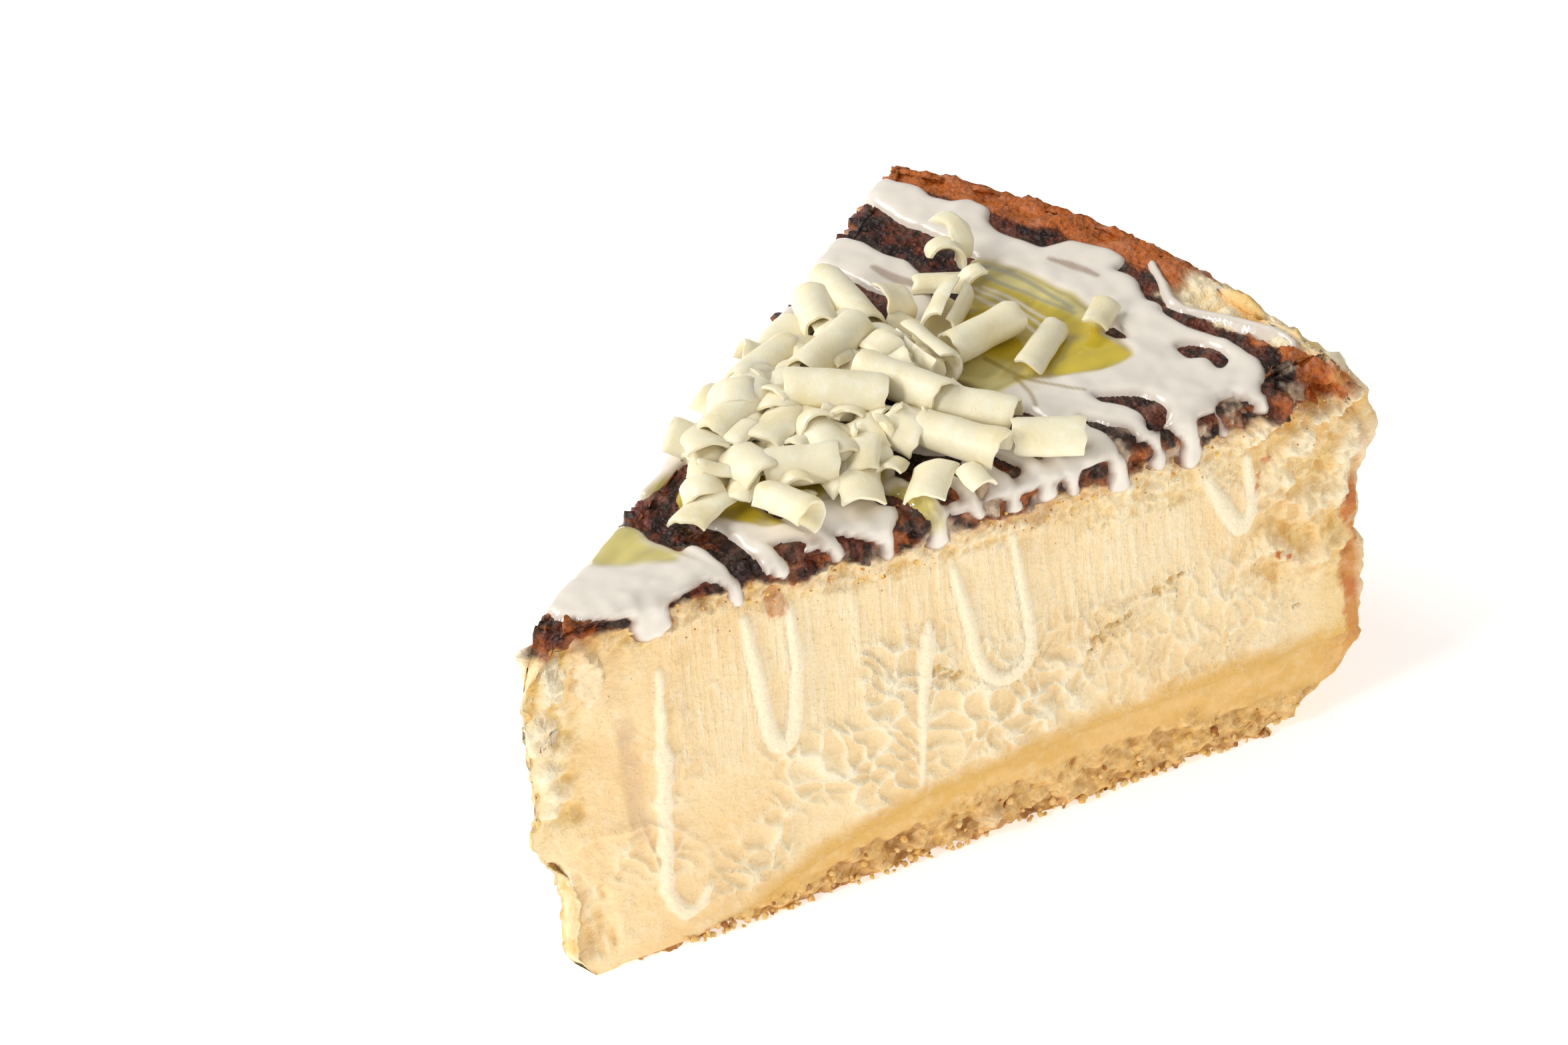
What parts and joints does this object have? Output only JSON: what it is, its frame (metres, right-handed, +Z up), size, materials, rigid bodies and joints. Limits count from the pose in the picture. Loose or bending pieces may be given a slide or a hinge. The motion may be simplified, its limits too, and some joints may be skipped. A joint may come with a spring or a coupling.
{
  "type": "baked cheesecake",
  "caption": "Wedge of baked cheesecake with a shortcrust base, browned top, poured white glaze and white chocolate curls.",
  "frame": {"origin": "middle of the slice's flat underside, 66 mm from the cake's centre, on the slice's middle line", "axes": "+X from the point of the slice to its rind, +Z up, +Y to the left of someone looking from the point to the rind"},
  "size_m": [0.1245, 0.0866, 0.0661],
  "materials": {
    "shortcrust": "baked shortcrust, sandy and golden",
    "cheese": "baked cream cheese, moist and cream coloured, browned on its top and rind",
    "chocolate": "white chocolate, ivory and satin"
  },
  "bodies": {
    "root": {"shortcrust_base": "shortcrust", "cheese_filling": "cheese", "curl_heap": "chocolate", "curl_1": "chocolate", "curl_2": "chocolate", "curl_3": "chocolate", "curl_4": "chocolate", "curl_5": "chocolate", "curl_6": "chocolate", "curl_7": "chocolate", "curl_8": "chocolate", "curl_9": "chocolate"}
  },
  "joints": []
}
